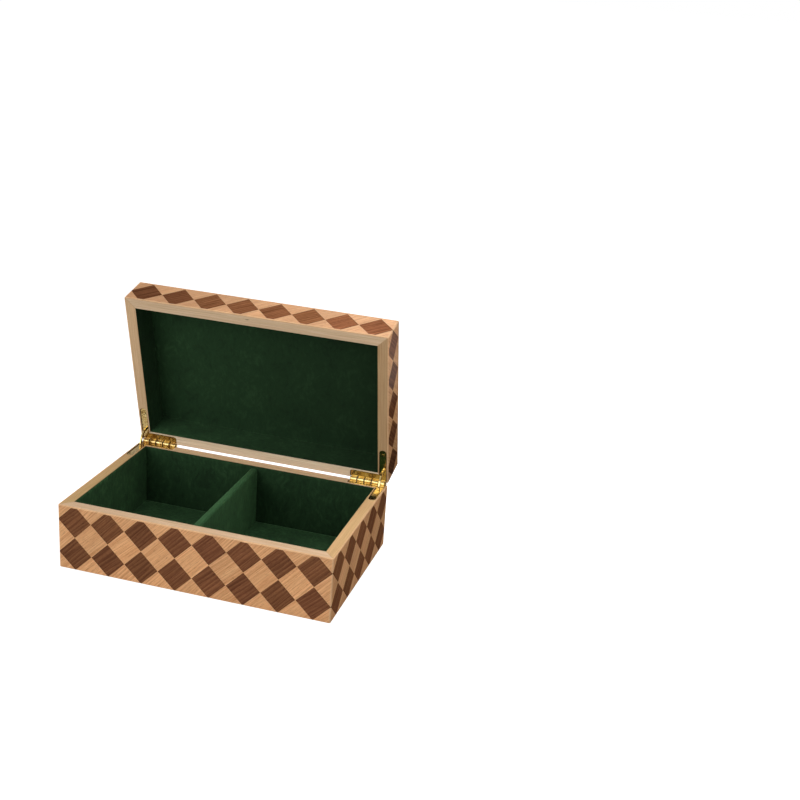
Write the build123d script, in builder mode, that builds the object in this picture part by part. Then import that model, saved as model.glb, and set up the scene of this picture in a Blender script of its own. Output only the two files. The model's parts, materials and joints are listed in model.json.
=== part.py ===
from build123d import *
from math import asin, degrees, radians, tan
from types import SimpleNamespace
import os

# A chess piece box: two veneered trays, the base and the lid, joined at the back corners by
# brass quadrant hinges whose curved stays hold the lid open. Millimetres, +Z up, front to -Y,
# origin at the centre of the face that it stands on. The lid is drawn open, as it stands at rest.

# Box
box_length = 256.0
box_width = 159.0
base_height = 62.0
lid_height = 32.0
rim_gap = 0.4
open_angle = 77.5

# Walls, panels and their skins
board = 9.2
veneer = 1.0
floor_panel = 3.0
top_panel = 3.0
rebate = 5.0
corner_radius = 1.4
edge_radius = 0.8
arris = 0.4
foot_clearance = 0.2

# Chequer of squares set on point, in whole columns and rows; a plain oak border along the rim cuts
# the tips of the nearest row off
tile_pitch = 32.0
tip_gap_across = 0.3
tip_gap_up = 0.3
rim_tip_cut = 2.0
rim_border = 1.2
lid_tile_margin = 1.8

# Suede lining and the divider between the two compartments
lining = 1.0
lining_drop = 0.6
divider_board = 5.0
divider_drop = 2.5
divider_offset = -3.2

# Quadrant hinges
pin_offset = 1.3
pin_radius = 1.0
pin_fit = 0.04
pin_head_radius = 1.6
pin_head = 0.4
pin_head_gap = 0.05
knuckle_radius = 2.3
knuckle_count = 5
knuckle_gap = 0.7
knuckle_clearance = 0.35
leaf_thickness = 1.8
leaf_recess = 0.7
leaf_fit = 0.6
leaf_inset = 2.3
leg_width = 6.0
leg_margin = 2.0
back_leg = 35.0
side_leg = 37.5
leg_corner_radius = 2.6

# Curved stays
stay_radius = 13.5
stay_depth = 2.6
stay_thickness = 1.4
stay_head_overhang = 1.2
stay_head = 2.0
stay_slot_clearance = 0.3
stay_mortise_clearance = 0.4
stay_stop_gap = 0.2
stay_end_room = 0.8

# Countersunk screws: distances along the legs from the hinge's outer edge and from its pin
screw_length = 9.0
screw_radius = 0.9
screw_head_radius = 1.75
screw_head_angle = 82.0
screw_slot = 0.6
screw_slot_depth = 0.6
screw_fit = 0.05
screw_head_fit = 0.25
screw_end_room = 0.5
back_leg_screws = (15.2, 29.8)
back_leg_screw_depth = 3.0
side_leg_screw = 32.9

# One named overrun serves every cut that leaves the wood
overrun = 2.0

# Places that follow from the sizes
half_length = box_length / 2
half_width = box_width / 2
wall = veneer + board
pin_y = half_width + pin_offset
pin_z = base_height + rim_gap / 2
hinge_edge = half_length - leaf_inset
stay_x = hinge_edge - leg_width / 2
knuckle_pitch = (back_leg + knuckle_gap) / knuckle_count
knuckle_length = knuckle_pitch - knuckle_gap
screw_head = (screw_head_radius - screw_radius) / tan(radians(screw_head_angle / 2))

# The stay turns about the pin; its heads meet the leaves from below when the lid is fully open
leaf_level = rim_gap / 2 + leaf_recess
leaf_underside = leaf_level + leaf_thickness
stay_inner_radius = stay_radius - stay_depth / 2
stay_stop_angle = degrees(asin((leaf_underside + stay_stop_gap) / stay_inner_radius))
stay_head_angle = degrees(stay_head / stay_radius)
stay_end_angle = stay_stop_angle + stay_head_angle
stay_housed_angle = stay_end_angle + open_angle / 2
stay_room_angle = degrees(stay_end_room / stay_radius)

# The swing carries whatever is drawn on the closed lid to where the open lid holds it
lid_swing = Location((0, pin_y, pin_z), (-open_angle, 0, 0)) * Location((0, -pin_y, -pin_z))
closed_lid_top = Plane(
    origin=(0, 0, base_height + rim_gap + lid_height),
    x_dir=(-1, 0, 0),
    z_dir=(0, 0, -1),
)

# Turns that bring the front side of a tray to its other sides
first_turn, half_turn, last_turn = 90.0, 180.0, 270.0

# Each tray is drawn from its outer face inwards: the base stands on it, the lid hangs upside down
base_tray = SimpleNamespace(
    name="base",
    frame=Plane.XY,
    height=base_height,
    skin=0.0,
    side_veneer_foot=foot_clearance,
    panel=floor_panel,
    panel_name="floor",
    tile_margin=0,
    sides={"front": 0, "right": first_turn, "back": half_turn, "left": last_turn},
    hands={"right": 1, "left": -1},
    own_knuckles=range(0, knuckle_count, 2),
    leaf_name="lower",
)
lid_tray = SimpleNamespace(
    name="lid",
    frame=Plane(lid_swing * closed_lid_top.location),
    height=lid_height,
    skin=veneer,
    side_veneer_foot=veneer,
    panel=top_panel,
    panel_name="top",
    tile_margin=lid_tile_margin,
    sides={"front": 0, "left": first_turn, "back": half_turn, "right": last_turn},
    hands={"right": -1, "left": 1},
    own_knuckles=range(1, knuckle_count, 2),
    leaf_name="upper",
)
trays = (base_tray, lid_tray)

os.makedirs("parts", exist_ok=True)


def write(piece, name):
    """Labels a finished piece and writes its file."""
    piece.part.label = name
    export_step(piece.part, f"parts/{name}.step")


def in_tray(tray, plane):
    """A plane given in a tray's own frame."""
    return Plane(tray.frame * plane)


def side_plan(tray, turn, level):
    """Plan plane of one side: x along the side, y inwards, z from the outer face to the rim."""
    return in_tray(tray, Plane.XY.offset(level).rotated((0, 0, turn)))


def side_size(turn):
    """Length of a side and the distance of its outer face from the middle of the box."""
    along_x = turn % half_turn == 0
    return (box_length, half_width) if along_x else (box_width, half_length)


def strip_points(turn, outer, inner):
    """Corners of a mitred strip between two depths from the box's outer face."""
    run, reach = side_size(turn)
    return [
        (outer - run / 2, outer - reach),
        (run / 2 - outer, outer - reach),
        (run / 2 - inner, inner - reach),
        (inner - run / 2, inner - reach),
    ]


def tile_spread(run):
    """Pitch and middles of the whole squares that fit a run best, from its start."""
    count = max(1, round(run / tile_pitch))
    pitch = run / count
    return pitch, [pitch / 2 + index * pitch for index in range(count)]


def lozenges(run, foot, rise):
    """Walnut lozenges in columns about the middle of a run and in rows that start at the foot."""
    width, columns = tile_spread(run)
    height, rows = tile_spread(rise)
    tip_x = (width - tip_gap_across) / 2
    tip_y = (height - tip_gap_up) / 2
    with BuildSketch() as sketch:
        with Locations([(x - run / 2, foot + y) for x in columns for y in rows]):
            Polygon((0, -tip_y), (tip_x, 0), (0, tip_y), (-tip_x, 0))
    return sketch.sketch


def arc_band(tray, depth, start, end):
    """Band along the stay's arc, seen along the pin, between angles counted from the rim into the wood."""
    pin = (pin_y, tray.height + rim_gap / 2)
    with BuildSketch() as sketch:
        with BuildLine():
            outer = CenterArc(pin, stay_radius + depth / 2, half_turn + start, end - start)
            inner = CenterArc(pin, stay_radius - depth / 2, half_turn + start, end - start)
            Line(outer @ 0, inner @ 0)
            Line(outer @ 1, inner @ 1)
        make_face()
    return sketch.sketch


def across_plane(tray, x):
    """Plane square to the pin, with x along the tray's depth and y from its outer face to the rim."""
    return in_tray(tray, Plane.YZ.offset(x))


def leaf_outline(hand, fit, reach):
    """L shaped leaf: a leg along the back rim out to the given depth and a leg along the side rim."""
    back_front = half_width - wall + leg_margin - fit
    side_end = pin_y - side_leg - fit
    radius = leg_width / 2 + fit
    with BuildSketch() as sketch:
        with Locations((hand * (hinge_edge - back_leg / 2), (back_front + reach) / 2)):
            back = Rectangle(back_leg + 2 * fit, reach - back_front)
        inner_end = back.vertices().group_by(Axis.Y)[0].sort_by(Axis.X)[0 if hand > 0 else -1]
        fillet(inner_end, leg_corner_radius)
        with Locations((hand * stay_x, (side_end + radius + reach) / 2)):
            Rectangle(2 * radius, reach - side_end - radius)
        with Locations((hand * stay_x, side_end + radius)):
            Circle(radius)
    return sketch.sketch


def screw_spots(hand):
    """Screw places on one leaf: on the back leg, and at the end of the side leg."""
    back_y = half_width - wall + leg_margin + back_leg_screw_depth
    spots = [(hand * (hinge_edge - distance), back_y) for distance in back_leg_screws]
    return spots + [(hand * stay_x, pin_y - side_leg_screw)]


def hinge_seat(tray, hand):
    """All that is cut from a tray for one hinge: leaf and stay mortises, screw holes, barrel notch."""
    pin_level = tray.height + rim_gap / 2
    rim = tray.height
    leaf_floor = pin_level - leaf_underside
    head_half = stay_thickness / 2 + stay_head_overhang + stay_mortise_clearance
    notch_depth = max(veneer, knuckle_radius + knuckle_clearance - pin_offset)
    notch_floor = pin_level - knuckle_radius - knuckle_clearance
    notch_end_room = pin_head + 2 * pin_head_gap
    band_depth = stay_depth + 2 * stay_mortise_clearance
    with BuildPart() as seat:
        with BuildSketch(in_tray(tray, Plane.XY.offset(leaf_floor))):
            add(leaf_outline(hand, leaf_fit, half_width + overrun))
        extrude(amount=rim - leaf_floor + overrun)
        with BuildSketch(across_plane(tray, hand * stay_x - head_half)):
            add(arc_band(tray, band_depth, 0, stay_housed_angle + stay_room_angle))
        extrude(amount=2 * head_half)
        with BuildSketch(in_tray(tray, Plane.XY.offset(leaf_floor))):
            with Locations(screw_spots(hand)):
                Circle(screw_radius + screw_fit)
        extrude(amount=leaf_thickness - screw_length - screw_end_room)
        with BuildSketch(in_tray(tray, Plane.XY.offset(notch_floor))):
            with Locations((hand * (hinge_edge - back_leg / 2), half_width + (overrun - notch_depth) / 2)):
                Rectangle(back_leg + 2 * notch_end_room, notch_depth + overrun)
        extrude(amount=rim - notch_floor + overrun)
    return seat.part


def make_wall(tray, side, seats):
    """Mitred wall board, rebated for the panel and let in for the hinges."""
    turn = tray.sides[side]
    run, reach = side_size(turn)
    inset = wall - rebate
    with BuildPart() as piece:
        with BuildSketch(side_plan(tray, turn, tray.skin)):
            Polygon(strip_points(turn, veneer, wall), align=None)
        extrude(amount=tray.height - tray.skin)
        with BuildSketch(side_plan(tray, turn, tray.skin)):
            Rectangle(run - 2 * inset, 2 * (reach - inset))
        extrude(amount=tray.panel, mode=Mode.SUBTRACT)
        if side != "front":
            add(seats, mode=Mode.SUBTRACT)
    write(piece, f"{tray.name}_{side}_wall")


def make_panel(tray):
    """Thin panel glued into the rebate of the four walls."""
    inset = wall - rebate
    with BuildPart() as piece:
        with BuildSketch(in_tray(tray, Plane.XY.offset(tray.skin))):
            Rectangle(box_length - 2 * inset, box_width - 2 * inset)
        extrude(amount=tray.panel)
    write(piece, f"{tray.name}_{tray.panel_name}_panel")


def make_wall_lining(tray, side):
    """Suede panel on the inside of one wall."""
    turn = tray.sides[side]
    foot = tray.skin + tray.panel
    with BuildPart() as piece:
        with BuildSketch(side_plan(tray, turn, foot)):
            Polygon(strip_points(turn, wall, wall + lining), align=None)
        extrude(amount=tray.height - lining_drop - foot)
    write(piece, f"{tray.name}_{side}_lining")


def make_panel_lining(tray):
    """Suede panel between the wall linings, on the floor or under the top."""
    inset = wall + lining
    with BuildPart() as piece:
        with BuildSketch(in_tray(tray, Plane.XY.offset(tray.skin + tray.panel))):
            Rectangle(box_length - 2 * inset, box_width - 2 * inset)
        extrude(amount=lining)
    write(piece, f"{tray.name}_{tray.panel_name}_lining")


def make_side_veneer(tray, side, seats):
    """Oak sheet of one side, clear of the ground and rounded at its edges, and the walnut let into it."""
    turn = tray.sides[side]
    run, reach = side_size(turn)
    plan = side_plan(tray, turn, tray.side_veneer_foot)
    outward = plan.y_dir * -1
    face = Plane(
        origin=side_plan(tray, turn, 0).from_local_coords(Vector(0, -reach, 0)),
        x_dir=plan.x_dir,
        z_dir=outward,
    )
    tiles = lozenges(run, tray.tile_margin, tray.height - tray.tile_margin + rim_tip_cut)
    tiled_height = tray.height - rim_border
    for name, cut in (("oak_veneer", Mode.SUBTRACT), ("walnut_inlay", Mode.INTERSECT)):
        with BuildPart() as piece:
            with BuildSketch(plan):
                Polygon(strip_points(turn, 0, veneer), align=None)
                RectangleRounded(run, 2 * reach, corner_radius, mode=Mode.INTERSECT)
            extrude(amount=tray.height - tray.side_veneer_foot)
            outer_edges = piece.edges().filter_by(GeomType.LINE).group_by(Axis(face.origin, outward))[-1]
            long_edges = outer_edges.filter_by(Axis(face.origin, face.x_dir))
            if tray.skin:
                long_edges = long_edges.sort_by(Axis(face.origin, plan.z_dir))[-1:]
            fillet(long_edges, edge_radius)
            with BuildSketch(face):
                add(tiles)
                with Locations((0, tiled_height / 2)):
                    Rectangle(run, tiled_height, mode=Mode.INTERSECT)
            extrude(amount=-veneer, mode=cut)
            if side == "back":
                add(seats, mode=Mode.SUBTRACT)
        write(piece, f"{tray.name}_{side}_{name}")


def make_top_veneer(tray):
    """Oak sheet over the whole top of the lid and the walnut lozenges let into it."""
    tiles = lozenges(box_length, -half_width, box_width)
    for name, cut in (("oak_veneer", Mode.SUBTRACT), ("walnut_inlay", Mode.INTERSECT)):
        with BuildPart() as piece:
            with BuildSketch(tray.frame):
                RectangleRounded(box_length, box_width, corner_radius)
            extrude(amount=veneer)
            outer_face = piece.faces().sort_by(Axis(tray.frame.origin, tray.frame.z_dir))[0]
            fillet(outer_face.edges(), arris)
            with BuildSketch(tray.frame):
                add(tiles)
            extrude(amount=veneer, mode=cut)
        write(piece, f"{tray.name}_{tray.panel_name}_{name}")


def make_divider():
    """Upright board across the base and the suede folded over it."""
    foot = floor_panel + lining
    depth = box_width - 2 * (wall + lining)
    crest = base_height - divider_drop
    with BuildPart() as divider_core:
        with BuildSketch(Plane.XY.offset(foot)):
            with Locations((divider_offset, 0)):
                Rectangle(divider_board, depth)
        extrude(amount=crest - lining - foot)
    write(divider_core, "divider_board")
    with BuildPart() as divider_cover:
        with BuildSketch(Plane.XY.offset(foot)):
            with Locations((divider_offset, 0)):
                Rectangle(divider_board + 2 * lining, depth)
        extrude(amount=crest - foot)
        with BuildSketch(Plane.XY.offset(foot)):
            with Locations((divider_offset, 0)):
                Rectangle(divider_board, depth)
        extrude(amount=crest - lining - foot, mode=Mode.SUBTRACT)
    write(divider_cover, "divider_lining")


def make_leaf(tray, side):
    """Brass leaf with its own knuckles, notched for the other leaf's, slotted for the stay."""
    hand = tray.hands[side]
    pin_level = tray.height + rim_gap / 2
    slot_half = stay_thickness / 2 + stay_slot_clearance
    barrel_start = hinge_edge - back_leg
    with BuildPart() as leaf:
        with BuildSketch(in_tray(tray, Plane.XY.offset(pin_level - leaf_underside))):
            add(leaf_outline(hand, 0, pin_y))
        extrude(amount=leaf_thickness)
        for index in range(knuckle_count):
            near = barrel_start + index * knuckle_pitch
            own = index in tray.own_knuckles
            room = 0 if own else knuckle_gap
            low_x = near - room if hand > 0 else -near - knuckle_length - room
            radius = knuckle_radius if own else knuckle_radius + knuckle_clearance
            with BuildSketch(across_plane(tray, low_x)):
                with Locations((pin_y, pin_level)):
                    Circle(radius)
            extrude(amount=knuckle_length + 2 * room, mode=Mode.ADD if own else Mode.SUBTRACT)
        with BuildSketch(across_plane(tray, hand * barrel_start - overrun * hand)):
            with Locations((pin_y, pin_level)):
                Circle(pin_radius + pin_fit)
        extrude(amount=hand * (back_leg + 2 * overrun), mode=Mode.SUBTRACT)
        with BuildSketch(across_plane(tray, hand * stay_x - slot_half)):
            add(arc_band(tray, stay_depth + 2 * stay_slot_clearance, 0, stay_end_angle))
        extrude(amount=2 * slot_half, mode=Mode.SUBTRACT)
        with Locations(in_tray(tray, Plane.XY.offset(pin_level - leaf_level))):
            with Locations(screw_spots(hand)):
                CounterSinkHole(
                    screw_radius + screw_fit,
                    screw_head_radius + screw_head_fit,
                    leaf_thickness,
                    screw_head_angle,
                )
    write(leaf, f"{side}_hinge_{tray.leaf_name}_leaf")


def make_screws(tray, side):
    """Slotted countersunk screws of one leaf."""
    hand = tray.hands[side]
    level = tray.height + rim_gap / 2 - leaf_level
    with BuildPart() as screws:
        with BuildSketch(in_tray(tray, Plane.XY.offset(level))):
            with Locations(screw_spots(hand)):
                Circle(screw_radius)
        extrude(amount=-screw_length)
        with Locations(in_tray(tray, Plane.XY.offset(level - screw_head / 2))):
            with Locations(screw_spots(hand)):
                Cone(screw_radius, screw_head_radius, screw_head)
        with BuildSketch(in_tray(tray, Plane.XY.offset(level))):
            with Locations(screw_spots(hand)):
                Rectangle(2 * screw_head_radius, screw_slot)
        extrude(amount=-screw_slot_depth, mode=Mode.SUBTRACT)
    write(screws, f"{side}_hinge_{tray.leaf_name}_screws")


def make_pin(side):
    """Hinge pin through all the knuckles, with a low head at each end."""
    hand = base_tray.hands[side]
    start = min(hand * (hinge_edge - back_leg), hand * hinge_edge) - pin_head_gap
    length = back_leg + 2 * pin_head_gap
    with BuildPart() as pin:
        with BuildSketch(across_plane(base_tray, start)):
            with Locations((pin_y, pin_z)):
                Circle(pin_radius)
        extrude(amount=length)
        with BuildSketch(across_plane(base_tray, start)):
            with Locations((pin_y, pin_z)):
                Circle(pin_head_radius)
        extrude(amount=-pin_head)
        with BuildSketch(across_plane(base_tray, start + length)):
            with Locations((pin_y, pin_z)):
                Circle(pin_head_radius)
        extrude(amount=pin_head)
    write(pin, f"{side}_hinge_pin")


def make_stay(side):
    """Curved strip about the pin, with a head at each end that stops under a leaf."""
    centre = base_tray.hands[side] * stay_x
    strip_half = stay_thickness / 2
    head_half = strip_half + stay_head_overhang
    lid_end = -open_angle - stay_end_angle
    with BuildPart() as stay:
        with BuildSketch(across_plane(base_tray, centre - strip_half)):
            add(arc_band(base_tray, stay_depth, lid_end, stay_end_angle))
        extrude(amount=2 * strip_half)
        with BuildSketch(across_plane(base_tray, centre - head_half)):
            add(arc_band(base_tray, stay_depth, stay_stop_angle, stay_end_angle))
            add(arc_band(base_tray, stay_depth, lid_end, lid_end + stay_head_angle))
        extrude(amount=2 * head_half)
    write(stay, f"{side}_hinge_stay")


for tray in trays:
    seats = [hinge_seat(tray, hand) for hand in (1, -1)]
    for side in tray.sides:
        make_wall(tray, side, seats)
        make_wall_lining(tray, side)
        make_side_veneer(tray, side, seats)
    make_panel(tray)
    make_panel_lining(tray)
make_top_veneer(lid_tray)
make_divider()
for side in ("left", "right"):
    for tray in trays:
        make_leaf(tray, side)
        make_screws(tray, side)
    make_pin(side)
    make_stay(side)
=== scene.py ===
import json
import math
from collections import namedtuple

import bpy
import numpy as np
from mathutils import Matrix, Vector


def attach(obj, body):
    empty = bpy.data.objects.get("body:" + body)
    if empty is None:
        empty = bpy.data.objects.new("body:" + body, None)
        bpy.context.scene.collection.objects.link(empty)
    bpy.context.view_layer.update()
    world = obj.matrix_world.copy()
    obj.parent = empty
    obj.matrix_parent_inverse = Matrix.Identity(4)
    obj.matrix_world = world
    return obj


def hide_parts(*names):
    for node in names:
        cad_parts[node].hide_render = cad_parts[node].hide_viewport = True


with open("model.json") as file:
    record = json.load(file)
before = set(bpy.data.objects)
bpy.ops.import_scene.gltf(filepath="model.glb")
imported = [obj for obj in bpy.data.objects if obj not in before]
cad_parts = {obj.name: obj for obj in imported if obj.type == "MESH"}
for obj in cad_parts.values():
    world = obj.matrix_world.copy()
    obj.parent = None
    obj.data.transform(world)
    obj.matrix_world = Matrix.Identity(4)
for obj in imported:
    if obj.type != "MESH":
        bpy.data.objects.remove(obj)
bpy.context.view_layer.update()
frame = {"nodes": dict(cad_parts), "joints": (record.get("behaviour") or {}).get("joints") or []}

# A chess piece box: chequered veneer over pale boards, green suede inside, brass quadrant hinges.
# Patterns are worked out in millimetres on each face of the shut box, and turned with the lid.

MM = 0.001

# Chequer, as it is cut
TILE = 32.0
RIM_TIP_CUT = 2.0
LID_TILE_MARGIN = 1.8
TIP_GAPS = (0.3, 0.3, 0.0)

# Leaves of veneer: where each wood's squares start, in pitches, and what sets walnut's random values apart
OAK_SHIFT = 0.5
WALNUT_SHIFT = 0.0
WALNUT_SEED = 40.0

# The lean of a leaf's grain and its spread, how far apart leaves and boards are cut, a leaf's own tone
LEAF_LEAN = -math.radians(48.5)
LEAF_LEAN_SPREAD = math.radians(7.0)
LEAF_CUTS = (900.0, 700.0, 500.0)
BOARD_CUTS = (310.0, 70.0, 130.0)
LEAF_TONE = (0.16, 0.92)

# Suede: where a panel's border turns over, and how much of its thickness stands upright there
SUEDE_EDGE = 1.5
SUEDE_EDGE_SHARES = (0.0, 0.18, 0.367, 0.52, 0.68, 0.84)
SUEDE_UPRIGHT_SHARE = 0.55
SUEDE_FEATHER_SHARE = 0.04
SUEDE_GRID = 2.0
SUEDE_FEWEST_STEPS = 3
SUEDE_SHARP_ANGLE = 60.0

# Waves of the suede: their share of its thickness, their lengths and starts, and how near a border they
# begin to calm down
SUEDE_WAVE_SHARE = 0.14
PANEL_WAVES = (17.0, 11.0)
PANEL_PHASE = 1.7
DIVIDER_WAVES = (19.0, 13.0, 7.3)
DIVIDER_PHASE = 1.0
SUEDE_CALM = 9.0

# The divider's round top: its radius in thicknesses of suede, and the steps round it and up to it
DIVIDER_BEND = 2.0
DIVIDER_BEND_STEPS = 7
DIVIDER_RISE_STEPS = 24

# Suede: the width of the painted highlight along its borders, the painted shade on the divider's crest,
# and the painted light and shade of each lining: the axis along which it changes, its level at both ends
# of that axis, and the contrast of its nap
SUEDE_HIGHLIGHT_WIDTH = 1.0
SUEDE_CREST_SHADE = 0.45
SUEDE_REACH = {"X": 117.0, "Y": 68.0, "Z": 226.0}
LightAndNap = namedtuple("LightAndNap", "axis low_level high_level contrast")
EVEN_LIGHT_AND_NAP = LightAndNap("X", 1.0, 1.0, 1.8)
SUEDE_LIGHT_AND_NAP = {
    "base_left_lining": LightAndNap("Y", 3.0, 2.6, 2.0),
    "base_back_lining": LightAndNap("X", 1.45, 1.1, 1.6),
    "base_floor_lining": LightAndNap("X", 1.65, 1.75, 2.2),
    "lid_left_lining": LightAndNap("Z", 2.35, 0.52, 1.6),
    "lid_top_lining": LightAndNap("X", 1.32, 0.66, 1.1),
    "lid_back_lining": LightAndNap("X", 1.75, 0.75, 1.6),
    "divider_lining": LightAndNap("Y", 3.75, 3.7, 1.5),
}

# Hinges of the shut box: where their knuckles meet and their screws sit, from the middle of the box
KNUCKLE_JOINT = 97.49
KNUCKLE_PITCH = 7.14
KNUCKLE_RADIUS = 2.3
LEAF_LEVEL = 0.9
SCREW_HEAD_RADIUS = 1.75
SCREW_PLACES = ((110.5, 74.3, 0.0), (95.9, 74.3, 0.0), (122.7, 47.9, 0.0))

# Painted shade in the hinges' crevices, from where to where it fades: off a knuckle's joint, off the
# barrel, below the top of a leaf, and inside and outside a screw's head
JOINT_SHADE = (0.4, 0.85)
BARREL_SHADE = (KNUCKLE_RADIUS + 0.3, KNUCKLE_RADIUS + 0.8)
SUNK_SHADE = (0.1, 0.4)
SCREW_INNER_SHADE = (SCREW_HEAD_RADIUS - 0.2, SCREW_HEAD_RADIUS)
SCREW_OUTER_SHADE = (SCREW_HEAD_RADIUS + 0.3, SCREW_HEAD_RADIUS + 0.7)
LEAF_SHADE_SHARE = 0.92
SCREW_SHADE_SHARE = 0.3

# How far the brass has tarnished: past 1 the dull spots grow together
PLAIN_TARNISH = 0.5
# On the left leaves the higher shares are partly painted shade
LEAF_TARNISH_AND_SHADE = {
    "lower": {"left": 2.2, "right": 0.3},
    "upper": {"left": 1.2, "right": 0.3},
}

# Camera, in the photograph's place
CAMERA_PLACE = (0.3985, -0.9537, 0.5516)
CAMERA_AZIMUTH = 14.37
CAMERA_ELEVATION = 20.65
CAMERA_ROLL = 4.24
CAMERA_LENS = 55.72
CAMERA_SENSOR = 36.0

# Studio light
SKY_LEVEL = 0.40
SKY_WHITE = (1.0, 1.0, 1.0, 1.0)
FLOOR_GREY = (0.5, 0.5, 0.5, 1.0)
FLOOR_GLOW = 0.84
FLOOR_REACH = 12.0
BACKGROUND_GLOSS_SHARE = 0.5
BOX_MIDDLE = (0.0, 0.016, 0.113)
Softbox = namedtuple("Softbox", "name place target size spread power")
SOFTBOXES = (
    Softbox("overhead_softbox", (0.35, -0.25, 1.90), BOX_MIDDLE, 1.3, 180.0, 2.8),
    Softbox("right_softbox", (0.62, -0.10, 1.90), (0.62, -0.10, 0.0), 1.3, 36.0, 3.4),
    Softbox("front_softbox", (-1.12, -1.80, 0.70), BOX_MIDDLE, 2.0, 180.0, 28.2),
    Softbox("back_softbox", (0.05, 0.55, 0.68), BOX_MIDDLE, 0.3, 180.0, 1.5),
)


# Colours and finishes

def seen(red, green, blue):
    """A screen's colour, each part 0 to 255, turned by the sRGB curve into a shader's linear colour."""
    share = np.array((red, green, blue)) / 255
    linear = np.where(share <= 0.04045, share / 12.92, ((share + 0.055) / 1.055) ** 2.4)
    return (*linear.tolist(), 1.0)


OAK_PALE = seen(233, 181, 132)
OAK_TAN = seen(203, 145, 97)
OAK_BROWN = seen(165, 109, 68)
OAK_PORE = seen(134, 85, 51)
OAK_RUBBED = seen(231, 192, 149)
WALNUT_LIGHT = seen(139, 92, 61)
WALNUT_MID = seen(108, 67, 43)
WALNUT_DARK = seen(74, 43, 27)
WALNUT_PORE = seen(54, 33, 24)
GLUE_BROWN = seen(84, 50, 30)
BOARD_PALE = seen(230, 198, 158)
BOARD_TAN = seen(211, 173, 130)
BOARD_LINE = seen(182, 140, 100)
BOARD_KNOT = seen(128, 104, 82)
PLY_PALE = seen(222, 192, 148)
PLY_TAN = seen(196, 156, 110)
SUEDE_DARK = seen(25, 44, 26)
SUEDE_MID = seen(30, 53, 31)
SUEDE_LIGHT = seen(38, 63, 38)
SUEDE_SHEEN = seen(118, 160, 112)
# Painted shade for the hinge recesses
RECESS_SHADE = seen(52, 33, 16)
BRASS_GOLD = seen(224, 202, 140)
BRASS_DEEP = seen(201, 169, 102)
# Dull tarnish, laid more heavily on the left leaves as painted shade
BRASS_TARNISH_AND_SHADE = seen(120, 84, 40)
# Painted shade in the hinges' crevices
BRASS_CREVICE_SHADE = seen(54, 34, 12)

# Painted light and shade on the boards: how much of each colour a side's board keeps, where it differs
# from the others
EVEN_BOARD_LIGHT = (1.0, 1.0, 1.0, 1.0)
BOARD_PAINTED_LIGHT = {
    "base_left": (0.87, 0.82, 0.67, 1.0),
    "base_right": (0.93, 0.87, 0.73, 1.0),
    "lid_left": (0.955, 0.95, 0.95, 1.0),
    "lid_right": (0.68, 0.64, 0.58, 1.0),
    "lid_front": (0.97, 1.03, 1.14, 1.0),
    "lid_back": (1.26, 1.5, 1.86, 1.0),
    "base_back": (1.22, 1.27, 1.34, 1.0),
    "base_front": (0.98, 1.0, 1.1, 1.0),
}

# Painted light and shade on the veneer: how light it is painted from one end of a side to the other, where
# sides differ
EVEN_PAINTED_LIGHT = (1.0, 1.0)
OAK_PAINTED_LIGHT = {
    "lid_front": (0.72, 0.93),
    "lid_right": (1.24, 0.57),
    "base_right": (0.98, 0.90),
    "base_front": (1.07, 1.0),
}
WALNUT_PAINTED_LIGHT = {
    "lid_front": (0.82, 1.66),
    "lid_right": (1.42, 0.40),
    "base_right": (1.24, 1.10),
    "base_front": (1.0, 1.08),
}

# The finish of the wood: a thin satin, or waxed to a low gloss, or rubbed dry
SATIN = {"Specular IOR Level": 0.0, "Coat Weight": 0.08, "Coat Roughness": 0.35}
WAXED = {"Specular IOR Level": 0.22}
DRY = {"Specular IOR Level": 0.0}
FINISHES = {
    "lid_front_oak": WAXED,
    "lid_front_walnut": DRY,
    "base_right_oak": DRY,
    "base_right_walnut": DRY,
}

# One side is polished at its front end: the polish's weight there, and where along the side it fades out
POLISHED_SIDE = "lid_right"
POLISH_WEIGHT = 0.20
POLISH_ROUGHNESS = 0.3
POLISH_FADE = (0.28, 0.52)

# A change between these levels falls instead of rising
FALLING = (1.0, 0.0)

# Noise fields: the lengths of their features along x, y and z, their detail and their roughness
Field = namedtuple("Field", "lengths detail roughness")
GRAIN_WANDER = Field((150.0, 22.0, 1.0), 1.0, 0.5)
RING_UNEVENNESS = Field((70.0, 5.0, 1.0), 2.0, 0.5)
GRAIN_STREAKS = Field((38.0, 0.9, 1.0), 4.0, 0.6)
GRAIN_BANDS = Field((120.0, 8.0, 1.0), 2.0, 0.5)
OAK_RAYS = Field((0.8, 3.6, 1.0), 1.0, 0.5)
BORDER_UNEVENNESS = Field((9.0, 9.0, 9.0), 3.0, 0.6)
KNOT_RAGGEDNESS = Field((1.6, 1.6, 0.6), 2.0, 0.5)
SUEDE_DRIFT = Field((30.0, 30.0, 30.0), 2.0, 0.5)
SUEDE_PATCHES = Field((22.0, 22.0, 30.0), 3.0, 0.55)
SUEDE_STROKES = Field((3.0, 3.0, 7.0), 3.0, 0.6)
SUEDE_FIBRES = Field((0.7, 0.7, 0.9), 2.0, 0.7)
BRASS_CLOUDS = Field((5.0, 5.0, 5.0), 3.0, 0.6)
BRASS_SPOTS = Field((0.9, 0.9, 0.9), 2.0, 0.6)
BRASS_SCRATCHES = Field((6.0, 0.12, 0.12), 2.0, 0.6)

# Straight grain: how far it wanders, how uneven its rings are, where in a ring its dark start rises and
# fades, and from what noise a pore shows
WANDER_REACH = 9.0
RING_DRIFT = 2.2
RING_START = (0.0, 0.10)
RING_FADE = (0.12, 0.75)
PORE_SPAN = (0.58, 0.70)

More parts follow.
